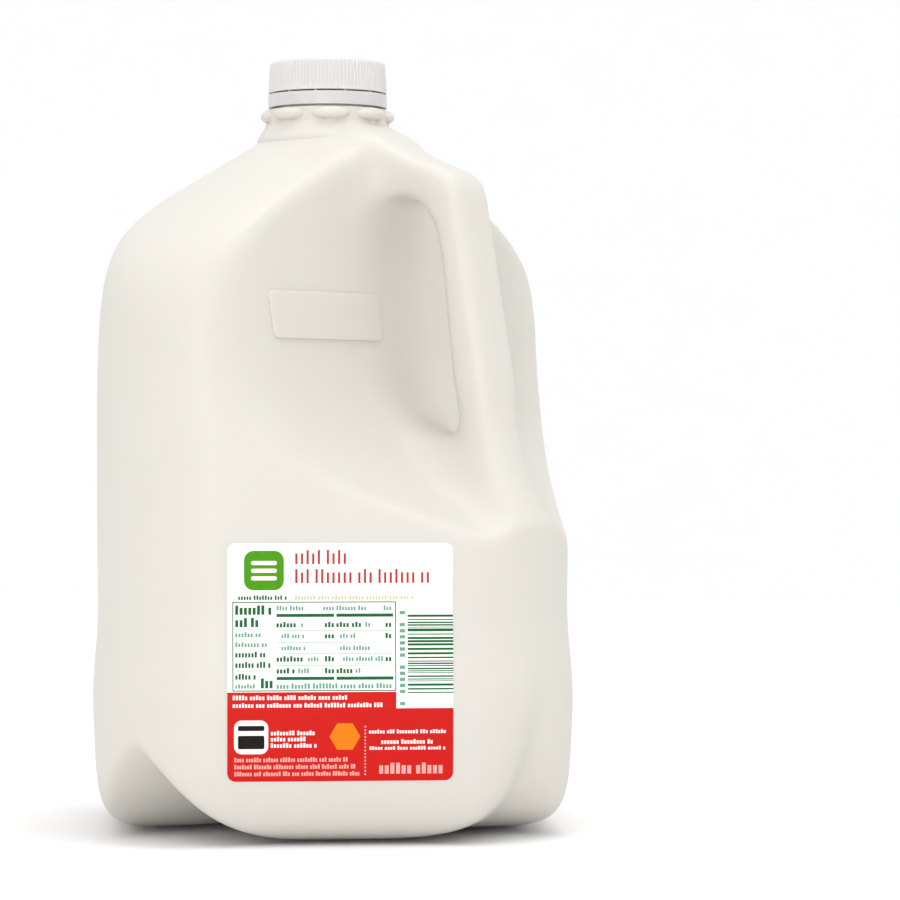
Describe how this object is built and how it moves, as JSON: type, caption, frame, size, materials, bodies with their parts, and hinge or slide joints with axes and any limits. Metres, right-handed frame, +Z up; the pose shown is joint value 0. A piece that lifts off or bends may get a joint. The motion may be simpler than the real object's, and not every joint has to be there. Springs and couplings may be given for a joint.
{
  "type": "plastic milk jug",
  "caption": "Square plastic milk jug with a moulded corner handle, sloping shoulder, ribbed screw cap, tamper band and a curved front label.",
  "frame": {"origin": "middle of the base, on the axis of the neck", "axes": "+Z up along the neck; +X towards the handle; the finger gap runs along Y; the label is on the face towards +X -Y"},
  "size_m": [0.1842, 0.1859, 0.2517],
  "materials": {
    "bottle_plastic": "satin, slightly translucent, milk behind it",
    "cap_plastic": "satin",
    "band_plastic": "satin",
    "label_print": "satin print"
  },
  "bodies": {
    "root": {"bottle": "bottle_plastic", "cap": "cap_plastic", "tamper_band": "band_plastic", "label": "label_print"}
  },
  "joints": []
}
